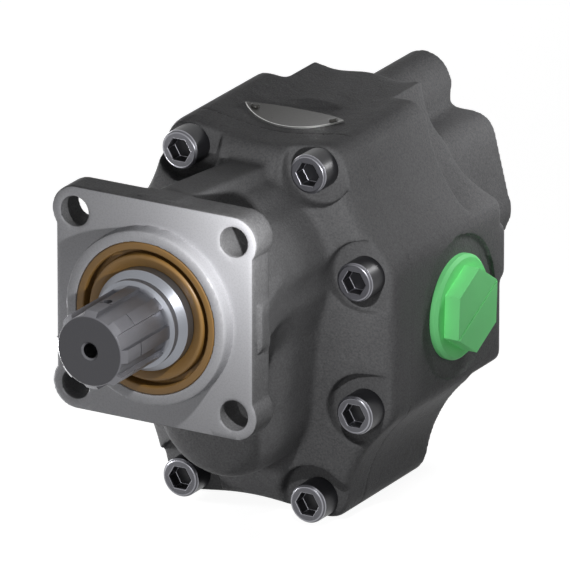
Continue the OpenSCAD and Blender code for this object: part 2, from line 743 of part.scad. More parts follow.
// Lip seal from y, whose open side faces the pump, on a shaft of radius r in a bore of radius out
module lip_seal(from, width, r, out) color(seal_brown) rotate([-90, 0, 0]) rotate_extrude() {
    inner = r + journal_gap;
    shell = (out - inner) * 0.38;
    groove = 1.1;
    polygon([[out, from], [out - shell, from], [out - shell, from + groove],
        [out - shell - groove, from + groove], [out - shell - groove, from],
        [inner + groove, from], [inner, from + groove], [inner, from + 2 * groove],
        [inner + 2 * groove, from + width * 0.45], [out - shell, from + width * 0.45],
        [out - shell, from + width], [out, from + width]]);
}
module front_shaft_seal() lip_seal(seal_y, seal_width, front_journal_d / 2, seal_d / 2);
module inner_shaft_seal() lip_seal(inner_seal_y, seal_width, front_journal_d / 2, seal_d / 2);
module seal_spacer_ring() color(steel) difference() {
    rod_y(spacer_y, inner_seal_y, seal_d / 2);
    rod_y(spacer_y - cut, inner_seal_y + cut, front_journal_d / 2 + spacer_gap);
}
module rear_shaft_seal() translate([0, 2 * rear_seal_y + rear_seal_width, 0]) mirror([0, 1, 0])
    lip_seal(rear_seal_y, rear_seal_width, rear_seal_d / 2, pad_bore_d / 2);
module rear_seal_ring() color(steel) {
    from = rear_seal_y + rear_seal_width;
    difference() {
        rod_y(from, from + rear_ring, pad_bore_d / 2);
        rod_y(from - cut, from + rear_ring + cut, pad_bore_d / 2 - rear_ring_wall);
    }
}

module dowel_pins() color(steel) dowel_holes();

module socket_screw() difference() {
    union() {
        rod_y(-screw_d, head_chamfer - screw_d, screw_head_d / 2 - head_chamfer, screw_head_d / 2);
        rod_y(head_chamfer - screw_d, 0, screw_head_d / 2);
        rod_y(-cut, screw_tip - screw_y, screw_d / 2);
    }
    rod_y(-screw_d - cut, -screw_d / 2, screw_hex / sqrt(3), $fn = 6);
}
module cover_screws() color([0.25, 0.25, 0.27])
    for (at = screw_places) translate([at[0], screw_y, at[1]]) socket_screw();

// Middle of the name plate along the shaft axis
plate_y = joint_y + plate_place;
plate_bed = 0.04; // layer between the plate and the body
rivet_angle = asin(rivet_spacing / 2 / hollow_radius);

// Places a rivet square to the hollow it sits in
module at_rivets() for (side = [-1, 1]) translate([0, plate_y, hollow_z])
    rotate([0, -side * rivet_angle, 0]) translate([0, 0, -hollow_radius]) children();
module rivet_shanks() at_rivets() translate([0, 0, -rivet_depth])
    cylinder(h = rivet_depth + plate_sheet + 0.6, d = rivet_shank_d);

module name_plate() color([0.6, 0.6, 0.6]) {
    round_r = (pow(plate_length, 2) + pow(plate_width, 2)) / 4 / plate_width;
    difference() {
        intersection() {
            translate([0, plate_y, 0]) linear_extrude(2 * crest_height) intersection_for(side = [-1, 1])
                translate([0, side * (round_r - plate_width / 2)]) circle(round_r);
            translate([0, 0, hollow_z]) rod_y(joint_y, rear_y, hollow_radius - plate_bed);
        }
        translate([0, 0, hollow_z]) rod_y(joint_y - cut, rear_y + cut, hollow_radius - plate_sheet);
        rivet_shanks();
    }
}

module plate_rivets() color(steel) {
    rivet_shanks();
    intersection() {
        at_rivets() cylinder(h = plate_sheet + 1.2, d1 = rivet_head_d, d2 = rivet_head_d - 1.2);
        translate([0, 0, hollow_z]) rod_y(joint_y, rear_y, hollow_radius - plate_sheet);
    }
}

// Plug of a port with a thread of diameter d in the right side, turned about its axis
module port_plug(d, rim_d, hex, turn) color(plug_green) {
    seat = case_half_width - spot_depth;
    face = seat + plug_rim + plug_hex_height;
    edge = plug_rim - plug_rim_chamfer;
    translate([0, gear_middle, middle_z]) rotate([0, 90, 0]) rotate(turn) difference() {
        union() {
            translate([0, 0, seat]) cylinder(h = edge, d = rim_d);
            translate([0, 0, seat + edge]) cylinder(h = plug_rim_chamfer, d1 = rim_d,
                d2 = rim_d - 2 * plug_rim_chamfer);
            translate([0, 0, seat]) cylinder(h = face - seat, d = hex * 2 / sqrt(3), $fn = 6);
            translate([0, 0, seat - plug_reach]) cylinder(h = plug_reach, d = d - 2 * plug_gap);
        }
        translate([0, 0, seat - plug_reach - cut])
            cylinder(h = plug_reach + plug_rim, d = d - 2 * (plug_gap + plug_wall));
        translate([-hex, -plug_line / 2, face - plug_line]) cube([2 * hex, plug_line, plug_line + cut]);
    }
}
module right_port_plug() port_plug(right_port_d, right_rim_d, right_plug_hex, right_plug_turn);
module left_port_plug() mirror([1, 0, 0])
    port_plug(left_port_d, left_rim_d, left_plug_hex, left_plug_turn);

front_cover();
pump_body();
drive_shaft();
driven_shaft();
front_thrust_plate();
rear_thrust_plate();
front_balance_seal();
rear_balance_seal();
neck_bush();
drive_front_bush();
drive_rear_bush();
driven_front_bush();
driven_rear_bush();
front_shaft_seal();
inner_shaft_seal();
seal_spacer_ring();
rear_shaft_seal();
rear_seal_ring();
cover_seal();
dowel_pins();
cover_screws();
name_plate();
plate_rivets();
left_port_plug();
right_port_plug();
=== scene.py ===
import json
import math

import bmesh
import bpy
import numpy as np
import openvdb
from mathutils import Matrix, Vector

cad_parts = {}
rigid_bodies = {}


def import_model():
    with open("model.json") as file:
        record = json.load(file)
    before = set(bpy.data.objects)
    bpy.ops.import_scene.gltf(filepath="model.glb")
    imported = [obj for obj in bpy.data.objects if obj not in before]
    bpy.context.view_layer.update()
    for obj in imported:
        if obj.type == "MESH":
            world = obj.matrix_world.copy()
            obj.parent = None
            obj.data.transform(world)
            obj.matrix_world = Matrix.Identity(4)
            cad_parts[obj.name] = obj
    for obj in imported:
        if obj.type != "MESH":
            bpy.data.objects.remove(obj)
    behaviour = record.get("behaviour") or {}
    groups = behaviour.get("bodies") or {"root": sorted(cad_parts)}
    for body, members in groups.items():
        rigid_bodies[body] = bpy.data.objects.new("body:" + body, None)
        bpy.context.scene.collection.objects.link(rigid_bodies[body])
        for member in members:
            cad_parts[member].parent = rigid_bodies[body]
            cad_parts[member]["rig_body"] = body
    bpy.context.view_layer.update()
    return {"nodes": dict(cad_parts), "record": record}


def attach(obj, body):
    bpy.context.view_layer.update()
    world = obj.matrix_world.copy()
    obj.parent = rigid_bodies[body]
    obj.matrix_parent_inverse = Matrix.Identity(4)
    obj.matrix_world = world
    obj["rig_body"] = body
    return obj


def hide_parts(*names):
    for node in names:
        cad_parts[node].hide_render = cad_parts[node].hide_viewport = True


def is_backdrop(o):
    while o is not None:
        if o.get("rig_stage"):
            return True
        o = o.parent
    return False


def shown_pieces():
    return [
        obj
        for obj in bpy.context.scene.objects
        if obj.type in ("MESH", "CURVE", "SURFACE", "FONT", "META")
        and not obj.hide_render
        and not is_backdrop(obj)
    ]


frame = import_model()

# Lengths below are in millimetres, in the frame of the CAD model: the shaft axis is y and z is up.
MM = 0.001
# Size of the cells in which the castings are blended, and how far they go past the castings
CELL = 0.8
CELL_MARGIN = 2.0
SIDE_MARGIN = 3.0
# How far cover and body reach into each other at the joint
OVERLAP = 0.35

# Angles in degrees over which an edge counts as sharp: on castings, on CAD meshes and on turned pieces
CAST_SHARP = 38
CAD_SHARP = 32
TURNED_SHARP = 50
# Faces round a turned piece, and steps of an arc in its profile
TURNED_FACES = 128
ARC_STEPS = 8
# How far past a place a test on faces or materials reaches
SLACK = 0.2

# Places along the shaft axis
PILOT_Y = -8.0
FLANGE_BACK = 15.5
DOME_Y = 51.0
SHOULDER_Y = 80.0
RIM_Y = 89.0
JOINT_Y = 105.0
REGISTER_START, REGISTER_Y = JOINT_Y - 3, 118.0
STEP_Y = 161.5
CHAMBER_Y = 178.0
REAR_Y = 188.0
BOSS_Y = 226.0
PAD_Y = 240.0
PORT_Y = 148.0
# The drive axis is at z = 0
DRIVEN_Z = -62.0
MIDDLE_Z = DRIVEN_Z / 2

# Flange and neck
FLANGE_HALF = 49.4
BOLT_HALF = 40.0
BOLT_R = 6.5
EAR_R = 11.5
FLANGE_REACH = BOLT_HALF + EAR_R
PILOT_R = 40.0
BARREL_R = 41.0
WEB_R = BARREL_R - 2
DOME_R = 33.0
HOLE_CHAMFER = 0.9
# Places where a form starts or ends inside another one, or before it is cut back
FLANGE_START = -4.0
NECK_START = 5.0
PILOT_ROOT = 10.0
PAD_ROOT = 150.0

# Ribs: half their width, how far they stay inside the flange's edge, and where slopes and ribs end
RIB_HALF = 10.0
RIB_INSET = 1.0
TOP_RIB_DROP, TOP_RIB_END = 5.5, SHOULDER_Y + 4
SIDE_RIB_X, SIDE_RIB_FOOT, SIDE_RIB_END = BARREL_R - 1, 43.5, 50.0
LOW_RIB_Z, LOW_RIB_FOOT, LOW_RIB_END = 54.0, DOME_Y + 7, DOME_Y + 8

# Case: its crests have a shallow hollow between them, and a scallop runs from each crest to the side
CASE_HALF = 69.0
CREST_Z = 57.0
HOLLOW_DEPTH, HOLLOW_R = 4.7, 100.0
HOLLOW_Z = CREST_Z - HOLLOW_DEPTH + HOLLOW_R
SCALLOP_NEAR_X, SCALLOP_FOOT_Z, SCALLOP_R = 45.1, 5.5, 67.0
SCALLOP_X = SCALLOP_NEAR_X + SCALLOP_R
SCALLOP_Z = SCALLOP_FOOT_Z + math.sqrt(SCALLOP_R**2 - (SCALLOP_X - CASE_HALF) ** 2)
STEP_X, STEP_Z, STEP_R = 84.0, 61.0, 57.0
SHOULDER_X = 38.0
SCREWS = [(32.5, 46.0), (56.0, 0.0)]
POCKET_R = 16.5

# Machined bores of both castings
REGISTER_R, CHAMBER_R = 36.28, 36.3
SEAL_SEAT_R, SEAL_SEAT_END = 35.0, 14.1
NECK_BORE_R = 26.55
BEARING_R = 21.55
DRIVEN_BEARING_START = 82.0
REAR_BEARING_START, REAR_BEARING_END = 170.0, 214.0
REAR_PASSAGE_R, REAR_PASSAGE_START = 20.5, 200.0
RECESS_R, RECESS_DEPTH = 26.3, 0.6
SCREW_HOLE_R, SCREW_HOLE_START = 6.5, 80.0
SCREW_THREAD_R, SCREW_THREAD_END = 6.0, 143.0
BOLT_HOLE_END = 30.0

# Rear pad and ports
PAD_HOLE_R = 36.3
PAD_HOLES = [math.radians(90.0), math.radians(-29.8)]
PAD_LOBE, STEM_INSET = 13.3, 2.0
PAD_SHOULDER = (34.0, 25.5)
PAD_SHOULDER_R = 6.0
PAD_LOW_R, PAD_LOW_Z = 75.0, 40.8
PAD_THREAD_R, PAD_THREAD_DEPTH = 4.25, 24.0
BOSS_R = 31.0
BAND_HEIGHT, BAND_THICKNESS = 26.0, 4.0
SPOT_R, SPOT_DEPTH = 32.5, 1.5
LEFT_PORT_R, RIGHT_PORT_R, PORT_DEPTH, PASSAGE_STEP = 21.0, 16.5, 20.0, 4.0

# Shaft, front seal, screws and name plate
FRONT_TIP, REAR_TIP = -55.0, 254.0
COLLAR_Y = -17.0
JOURNAL_R = 23.0
SEAL_Y, SEAL_WIDTH, SEAL_R, SEAL_EDGE = -7.7, 10.0, 34.95, 1.0
GROOVE_R, GROOVE_WIDTH, GROOVE_DEPTH = 31.2, 2.2, 7.0
FOLD_R, FOLD_DEPTH = 1.4, 1.9
LIP_R, LIP_TAPER, LIP_START, LIP_END, LIP_RELIEF = JOURNAL_R + 0.1, 1.5, 2.6, 3.2, 1.9
SCREW_FACE_Y, SCREW_SOCKET_Y, SOCKET_R = 77.0, 83.0, 6.0
PLATE_Y, PLATE_LENGTH, PLATE_WIDTH = 122.0, 50.0, 23.0
PLATE_ROUND_R = (PLATE_LENGTH**2 + PLATE_WIDTH**2) / 4 / PLATE_WIDTH
# How deep a machined face reaches, how far behind a screw head's front its painted shade starts, and how wide
# the plate's painted highlight along its edge is
MACHINED_DEPTH, SCREW_SHADE_DEPTH, PLATE_HIGHLIGHT_WIDTH = 0.4, 0.9, 0.45

# Radii of the rounded edges: machined, then cast from the front to the rear
EDGE = 0.8
FLANGE_EDGE = 1.2
RIB_EDGE = 2.0
DOME_EDGE = 7.5
SHOULDER_EDGE = 4.0
RIM_EDGE = 3.5
SIDE_EDGE = 3.0
CREST_EDGE = 2.5
POCKET_EDGE = 0.7
STEP_EDGE = 0.8
REAR_EDGE = 1.5
BAND_EDGE = 2.0
BOSS_EDGE = 6.0
SPOT_EDGE = 0.3
# Radii of the fillets where two forms meet
RIB_FILLET = 2.0
NECK_FILLET = 3.0
CASE_FILLET = 2.5
SCALLOP_FILLET = 8.0
POCKET_FILLET = 1.5
STEP_FILLET = 3.0
STEM_FILLET = 5.0
LOBE_FILLET = 3.0
PAD_BOSS_FILLET = 4.0
PAD_CASE_FILLET = 8.0

# Surroundings: where lamps aim and how far off they are, and the light of the world and the floor
MIDDLE = Vector((0, 90, -30)) * MM
LAMP_DISTANCE = 1.6
WORLD_LIGHT = 0.05
FLOOR_GLOW = 0.93
FLOOR_HALF = 3.0
# Camera: its direction in degrees, distance and sight in metres, and the picture's width over the part's
CAMERA_AZIMUTH, CAMERA_ELEVATION = 30, 20
CAMERA_DISTANCE, CAMERA_SIGHT = 6.0, 50.0
PICTURE_MARGIN = 1.18
# Every so many corners of a piece are looked at to frame it
FRAMED_STEP = 7


# Distances: negative inside, blended with a fillet of about radius r

def both(a, b, r=0.0):
    """Distance to what two shapes share, with its edge rounded by r."""
    if not r:
        return np.maximum(a, b)
    k = 1.6 * r
    h = np.maximum(k - np.abs(a - b), 0)
    return np.maximum(a, b) + h * h / (4 * k)


def either(a, b, r=0.0):
    return -both(-a, -b, r)


def without(a, b, r=0.0):
    return both(a, -b, r)


def disc(u, v, at, r):
    return np.hypot(u - at[0], v - at[1]) - r


def plate(u, v, half_u, half_v):
    """Rectangle of the given half sizes round the shaft axis."""
    du, dv = np.abs(u) - half_u, np.abs(v) - half_v
    return np.hypot(np.maximum(du, 0), np.maximum(dv, 0)) + np.minimum(np.maximum(du, dv), 0)


def polygon(u, v, points):
    """Distance to a closed outline of straight edges."""
    best = np.full(np.broadcast(u, v).shape, 1e9, np.float32)
    inside = np.zeros(best.shape, bool)
    for (u0, v0), (u1, v1) in zip(points, points[1:] + points[:1]):
        eu, ev = u1 - u0, v1 - v0
        t = np.clip(((u - u0) * eu + (v - v0) * ev) / (eu * eu + ev * ev), 0, 1)
        best = np.minimum(best, np.hypot(u - u0 - t * eu, v - v0 - t * ev))
        if v0 != v1:
            crosses = (v0 > v) != (v1 > v)
            inside ^= crosses & (u < u0 + (v - v0) / (v1 - v0) * eu)
    return np.where(inside, -best, best)


def beyond(u, v, a, b):
    """Signed distance from the line a to b, positive on its right."""
    length = math.hypot(b[0] - a[0], b[1] - a[1])
    return ((u - a[0]) * (b[1] - a[1]) - (v - a[1]) * (b[0] - a[0])) / length


def between(y, low, high):
    return np.maximum(low - y, y - high)


class Grid:
    """Cells over the half x >= 0 of a casting, which is the same on both sides."""

    def __init__(self, front, back):
        self.low = (0, front - CELL_MARGIN, DRIVEN_Z - CREST_Z - CELL_MARGIN)
        high = (CASE_HALF + SIDE_MARGIN, back + CELL_MARGIN, CREST_Z + CELL_MARGIN)
        x, y, z = (np.arange(a, b + CELL, CELL, dtype=np.float32) for a, b in zip(self.low, high))
        self.x, self.y, self.z = x[:, None, None], y[None, :, None], z[None, None, :]

    def mesh(self, name, right, left=None):
        """Turns a distance field into a Blender object, the same on both sides unless left is given."""
        size = (self.x.size, self.y.size, self.z.size)
        right, left = (np.broadcast_to(side, size) for side in (right, right if left is None else left))
        whole = np.concatenate([left[:0:-1], right]).astype(np.float32)
        band = 3 * CELL
        grid = openvdb.FloatGrid(band)
        grid.copyFromArray(np.clip(whole, -band, band))
        points, triangles, quads = grid.convertToPolygons(isovalue=0, adaptivity=0.02)
        start = (-(self.x.size - 1) * CELL, self.low[1], self.low[2])
        points = (points * CELL + start) * MM
        faces = [corners[::-1].tolist() for group in (triangles, quads) for corners in group]
        mesh = bpy.data.meshes.new(name)
        mesh.from_pydata(points.tolist(), [], faces)
        mesh.validate()
        mesh.shade_smooth()
        mesh.set_sharp_from_angle(angle=math.radians(CAST_SHARP))
        ob = bpy.data.objects.new(name, mesh)
        bpy.context.scene.collection.objects.link(ob)
        return ob


def case_outline(g):
    """Outline between cover and body without its two port faces."""
    up = np.abs(g.z - MIDDLE_Z) + MIDDLE_Z
    top = without(up - CREST_Z, disc(g.x, up, (0, HOLLOW_Z), HOLLOW_R), CREST_EDGE)
    return without(top, disc(g.x, up, (SCALLOP_X, SCALLOP_Z), SCALLOP_R), SCALLOP_FILLET)


def screw_places():
    """Centres of the screws on the right, those round the drive axis and their mirror images below."""
    for x, z in SCREWS:
        yield x, z
        yield x, DRIVEN_Z - z


def figure_eight(g, r):
    """Two equal bores, one on each gear axis."""
    return either(disc(g.x, g.z, (0, 0), r), disc(g.x, g.z, (0, DRIVEN_Z), r))


def neck_web(g, top_r, low_r):
    """Stadium of two circles and their common tangents."""
    lean = math.asin((top_r - low_r) / -DRIVEN_Z)
    nx, nz = math.cos(lean), -math.sin(lean)
    hull = [(top_r * nx, top_r * nz), (low_r * nx, low_r * nz + DRIVEN_Z)]
    hull += [(-u, v) for u, v in reversed(hull)]
    rounds = either(disc(g.x, g.z, (0, 0), top_r), disc(g.x, g.z, (0, DRIVEN_Z), low_r))
    return either(polygon(g.x, g.z, hull), rounds)


def pockets(g):
    """Outline of the flat floors round the screws, open to the outside."""
    shape = np.float32(1e9)
    for x, z in screw_places():
        level = 0 if z > MIDDLE_Z else DRIVEN_Z
        out = math.atan2(z - level, x)
        u = (g.x - x) * math.cos(out) + (g.z - z) * math.sin(out)
        v = (g.z - z) * math.cos(out) - (g.x - x) * math.sin(out)
        slot = both(np.abs(v) - POCKET_R, -u)
        shape = either(shape, either(disc(g.x, g.z, (x, z), POCKET_R), slot))
    return shape


def ribs(g):
    """Four ribs that run from the flange's back to the neck, with sloping outer edges."""
    foot = FLANGE_REACH - RIB_INSET
    slope = beyond(g.z, g.y, (foot, FLANGE_BACK), (foot - TOP_RIB_DROP, SHOULDER_Y))
    top = both(both(g.x - RIB_HALF, slope, RIB_EDGE), -g.z)
    top = both(top, between(g.y, NECK_START, TOP_RIB_END))
    slope = beyond(g.x, g.y, (FLANGE_HALF - RIB_INSET, FLANGE_BACK), (SIDE_RIB_X, SIDE_RIB_FOOT))
    side = both(np.abs(g.z) - RIB_HALF, slope, RIB_EDGE)
    side = both(side, between(g.y, NECK_START, SIDE_RIB_END))
    slope = beyond(-g.z, g.y, (foot, FLANGE_BACK), (LOW_RIB_Z, LOW_RIB_FOOT))
    low = both(both(g.x - RIB_HALF, slope, RIB_EDGE), g.z)
    low = both(low, between(g.y, NECK_START, LOW_RIB_END))
    return either(either(top, side), low)


def front_cover():
    g = Grid(PILOT_Y, REGISTER_Y)
    x, y, z = g.x, g.y, g.z
    up = np.abs(z - MIDDLE_Z) + MIDDLE_Z

    # Rim with its sloping shoulder
    side = beyond(x, y, (SHOULDER_X, SHOULDER_Y), (CASE_HALF, RIM_Y))
    top = beyond(up, y, (BARREL_R, SHOULDER_Y), (CREST_Z, RIM_Y))
    shoulder = both(both(SHOULDER_Y - y, side, SHOULDER_EDGE), top, SHOULDER_EDGE)
    rim = both(case_outline(g), x - CASE_HALF, SIDE_EDGE)
    rim = both(rim, shoulder, RIM_EDGE)

    # Neck: barrel, web with its dome, and the pockets cut into both
    barrel = both(disc(x, z, (0, 0), BARREL_R), between(y, NECK_START, RIM_Y))
    web = both(neck_web(g, WEB_R, DOME_R), DOME_Y - y, DOME_EDGE)
    web = both(web, y - RIM_Y)
    neck = either(barrel, web, NECK_FILLET)
    solid = either(rim, neck, CASE_FILLET)
    pocket = both(pockets(g), y - RIM_Y, POCKET_FILLET)
    solid = without(solid, pocket, POCKET_EDGE)
    solid = either(solid, ribs(g), RIB_FILLET)

    # Flange with an ear round each bolt hole
    wide = plate(x, z, FLANGE_HALF, BOLT_HALF)
    high = plate(x, z, BOLT_HALF, FLANGE_REACH)
    ear = disc(x, np.abs(z), (BOLT_HALF, BOLT_HALF), EAR_R)
    flange = both(either(either(wide, high), ear), y - FLANGE_BACK, FLANGE_EDGE)
    flange = both(flange, FLANGE_START - y)
    solid = either(solid, flange, RIB_FILLET)
    solid = both(solid, -y, EDGE)
    solid = both(solid, y - JOINT_Y - OVERLAP)

    # Machined pilot, register and bores
    pilot = both(both(disc(x, z, (0, 0), PILOT_R), PILOT_Y - y, EDGE), y - PILOT_ROOT)
    solid = either(solid, pilot)
    register = both(figure_eight(g, REGISTER_R), between(y, REGISTER_START, REGISTER_Y))
    solid = either(solid, register)
    solid = without(solid, both(disc(x, z, (0, 0), SEAL_SEAT_R), y - SEAL_SEAT_END))
    solid = without(solid, disc(x, z, (0, 0), NECK_BORE_R))
    solid = without(solid, both(disc(x, z, (0, DRIVEN_Z), BEARING_R), DRIVEN_BEARING_START - y))
    hole = disc(x, np.abs(z), (BOLT_HALF, BOLT_HALF), BOLT_R)
    chamfer = (hole - HOLE_CHAMFER + y) * math.sqrt(0.5)
    solid = without(solid, either(both(hole, y - BOLT_HOLE_END), chamfer))
    for at in screw_places():
        solid = without(solid, both(disc(x, z, at, SCREW_HOLE_R), SCREW_HOLE_START - y))
    return g.mesh("front_cover_casting", solid)


def pad_holes():
    return [(PAD_HOLE_R * math.cos(a), PAD_HOLE_R * math.sin(a)) for a in PAD_HOLES]


def pad_outline(g):
    """Three lobes round the pad's holes, joined by sides that bulge."""
    (top_x, top_z), (low_x, low_z) = pad_holes()
    wide, high = PAD_SHOULDER
    side = beyond(g.x, g.z, (low_x + PAD_LOBE, low_z), (wide, high))
    bottom = disc(g.x, g.z, (0, PAD_LOW_R - PAD_LOW_Z), PAD_LOW_R)
    main = both(both(g.z - high, side, PAD_SHOULDER_R), bottom)
    main = both(main, beyond(g.x, g.z, (low_x + PAD_LOBE / 2, -PAD_LOW_Z), (low_x + PAD_LOBE, low_z)))
    main = either(main, disc(g.x, g.z, (low_x, low_z), PAD_LOBE))
    stem = both(g.x - PAD_LOBE + STEM_INSET, between(g.z, 0, top_z))
    return either(either(main, stem, STEM_FILLET), disc(g.x, g.z, (top_x, top_z), PAD_LOBE), LOBE_FILLET)


def pump_body():
    g = Grid(JOINT_Y, PAD_Y)
    x, y, z = g.x, g.y, g.z
    up = np.abs(z - MIDDLE_Z) + MIDDLE_Z
    solid = both(case_outline(g), y - REAR_Y, REAR_EDGE)

    # The deeper scallops behind the step
    scallop = both(disc(x, up, (STEP_X, STEP_Z), STEP_R), STEP_Y - y, STEP_FILLET)
    solid = without(solid, scallop, STEP_EDGE)

    # Rear pad, the boss over the driven gear, and the band across the rear face
    pad = both(pad_outline(g), between(y, PAD_ROOT, PAD_Y))
    boss = both(disc(x, z, (0, DRIVEN_Z), BOSS_R), y - BOSS_Y, BOSS_EDGE)
    boss = both(boss, PAD_ROOT - y)
    band = np.abs(z - MIDDLE_Z - BAND_HEIGHT / 2) - BAND_HEIGHT / 2
    band = both(both(band, y - REAR_Y - BAND_THICKNESS, BAND_EDGE), PAD_ROOT - y)
    solid = either(solid, band, CASE_FILLET)
    solid = either(solid, either(pad, boss, PAD_BOSS_FILLET), PAD_CASE_FILLET)
    solid = both(solid, x - CASE_HALF, SIDE_EDGE)
    solid = both(solid, JOINT_Y - OVERLAP - y)
    solid = both(solid, y - PAD_Y, EDGE)

    # Machined chamber, ports and bores
    solid = without(solid, both(figure_eight(g, CHAMBER_R), y - CHAMBER_Y))
    port = np.hypot(y - PORT_Y, z - MIDDLE_Z)
    solid = without(solid, both(port - SPOT_R, CASE_HALF - SPOT_DEPTH - x), SPOT_EDGE)
    solid = without(solid, both(figure_eight(g, BEARING_R), between(y, REAR_BEARING_START, REAR_BEARING_END)))
    solid = without(solid, both(disc(x, z, (0, 0), REAR_PASSAGE_R), REAR_PASSAGE_START - y))
    solid = without(solid, both(disc(x, z, (0, 0), RECESS_R), PAD_Y - RECESS_DEPTH - y))
    for at in pad_holes():
        hole = disc(x, z, at, PAD_THREAD_R)
        solid = without(solid, both(hole, PAD_Y - PAD_THREAD_DEPTH - y))
        solid = without(solid, (hole - HOLE_CHAMFER - (y - PAD_Y)) * math.sqrt(0.5))
    for at in screw_places():
        solid = without(solid, both(disc(x, z, at, SCREW_THREAD_R), y - SCREW_THREAD_END))
    sides = []
    for r in (RIGHT_PORT_R, LEFT_PORT_R):
        bore = either(both(port - r, CASE_HALF - PORT_DEPTH - x), port - r + PASSAGE_STEP)
        sides.append(without(solid, bore))
    return g.mesh("pump_body_casting", *sides)


# Materials

class Paint:
    """A material's nodes, with short calls for the nodes used here."""

    def __init__(self, name):
        self.material = bpy.data.materials.new(name)
        self.material.use_nodes = True
        self.tree = self.material.node_tree
        self.tree.nodes.clear()
        out = self.tree.nodes.new("ShaderNodeOutputMaterial")
        self.shader = self.add("ShaderNodeBsdfPrincipled")
        self.tree.links.new(self.shader.outputs[0], out.inputs[0])
        self.where = self.add("ShaderNodeTexCoord").outputs["Object"]

    def add(self, kind, **values):
        node = self.tree.nodes.new(kind)
        for key, value in values.items():
            setattr(node, key, value)
        return node

    def feed(self, socket, value):
        if isinstance(value, bpy.types.NodeSocket):
            self.tree.links.new(value, socket)
        else:
            socket.default_value = value

    def set(self, **values):
        for key, value in values.items():
            self.feed(self.shader.inputs[key.replace("_", " ")], value)

    def math(self, operation, *values):
        node = self.add("ShaderNodeMath", operation=operation)
        for socket, value in zip(node.inputs, values):
            self.feed(socket, value)
        return node.outputs[0]

    def noise(self, scale, detail, rough, at=None):
        node = self.add("ShaderNodeTexNoise")
        self.feed(node.inputs["Vector"], at or self.where)
        self.feed(node.inputs["Scale"], scale)
        self.feed(node.inputs["Detail"], detail)
        self.feed(node.inputs["Roughness"], rough)
        return node.outputs[0]

    def stretched(self, along, outwards):
        """Coordinates that vary along y and outwards, but not round the shaft axis."""
        x, y, z = self.xyz()
        out = self.math("SQRT", self.math("ADD", self.math("MULTIPLY", x, x), self.math("MULTIPLY", z, z)))
        joined = self.add("ShaderNodeCombineXYZ")
        self.feed(joined.inputs[0], self.math("MULTIPLY", out, outwards))
        self.feed(joined.inputs[1], self.math("MULTIPLY", y, along))
        return joined.outputs[0]

    def ramp(self, value, low, high, to_low, to_high):
        node = self.add("ShaderNodeMapRange")
        for socket, v in zip(node.inputs, (value, low, high, to_low, to_high)):
            self.feed(socket, v)
        return node.outputs[0]

    def mix(self, share, a, b):
        node = self.add("ShaderNodeMix", data_type="RGBA")
        self.feed(node.inputs[0], share)
        self.feed(node.inputs[6], (*a, 1) if isinstance(a, tuple) else a)
        self.feed(node.inputs[7], (*b, 1) if isinstance(b, tuple) else b)
        return node.outputs[2]

    def bump(self, height, distance, strength, normal=None):
        node = self.add("ShaderNodeBump")
        self.feed(node.inputs["Height"], height)
        self.feed(node.inputs["Distance"], distance)
        self.feed(node.inputs["Strength"], strength)
        if normal is not None:
            self.feed(node.inputs["Normal"], normal)
        return node.outputs[0]

    def xyz(self):
        node = self.add("ShaderNodeSeparateXYZ")
        self.feed(node.inputs[0], self.where)
        return node.outputs

    def colour(self):
        """What feeds the base colour so far."""
        return self.shader.inputs["Base Color"].links[0].from_socket


def casting_paint(name, machined):
    """Satin dark paint over cast grain. The call machined(paint) gives the share of bare metal."""
    p = Paint(name)
    grain = p.noise(1100, 3, 0.7)
    lumps = p.noise(140, 3, 0.5)
    tone = p.noise(22, 4, 0.6)
    turned = p.noise(1.0, 5, 0.7, p.stretched(300, 4000))
    bare = machined(p)
    painted = p.math("SUBTRACT", 1.0, bare)
    speck = p.math("MULTIPLY_ADD", grain, 0.75, p.math("MULTIPLY", tone, 0.25))
    dark = p.mix(p.ramp(speck, 0.35, 0.65, 0, 1), (0.112, 0.112, 0.115), (0.182, 0.182, 0.186))
    milled = p.mix(p.ramp(turned, 0.3, 0.7, 0, 1), (0.37, 0.37, 0.385), (0.43, 0.43, 0.45))
    p.set(Base_Color=p.mix(bare, dark, milled), Metallic=p.math("MULTIPLY", bare, 0.1))
    p.set(Specular_IOR_Level=0.015)
    rough = p.ramp(grain, 0.3, 0.7, 0.36, 0.48)
    p.set(Roughness=p.math("ADD", rough, p.math("MULTIPLY", bare, -0.14)))
    height = p.math("ADD", grain, p.math("MULTIPLY", lumps, 1.5))
    cast = p.bump(p.math("MULTIPLY", height, painted), 0.00035, 0.8)
    p.set(Normal=p.bump(p.math("MULTIPLY", turned, bare), 0.00002, 0.3, cast))
    return p.material


def ahead_of(p, value, edge, soft=0.00015):
    """1 where value is over edge, in metres, with a thin soft border."""
    return p.ramp(value, edge - soft, edge + soft, 0, 1)


def cover_machined(p):
    """The flange's face and the pilot in front of it."""
    return p.math("SUBTRACT", 1.0, ahead_of(p, p.xyz()[1], MACHINED_DEPTH * MM))


def body_machined(p):
    """The rear pad's face, under a thin coat."""
    return p.math("MULTIPLY", ahead_of(p, p.xyz()[1], (PAD_Y - MACHINED_DEPTH) * MM), 0.8)


def metal(name, colour, rough, metallic=1.0, turned=0.0):
    """Bare metal with fine grain; turned gives it marks round the shaft axis."""
    p = Paint(name)
    grain = p.noise(600, 4, 0.6)
    tone = p.noise(24, 4, 0.6)
    marks = p.noise(1.0, 5, 0.7, p.stretched(2500, 2500))
    light = tuple(min(1, c * 1.3) for c in colour)
    p.set(Base_Color=p.mix(p.ramp(tone, 0.3, 0.7, 0, 1), colour, light), Metallic=metallic)
    p.set(Roughness=p.ramp(p.math("ADD", grain, tone), 0.6, 1.4, rough - 0.06, rough + 0.06))
    height = p.math("ADD", grain, p.math("MULTIPLY", marks, turned))
    p.set(Normal=p.bump(height, 0.00004, 0.5))
    return p


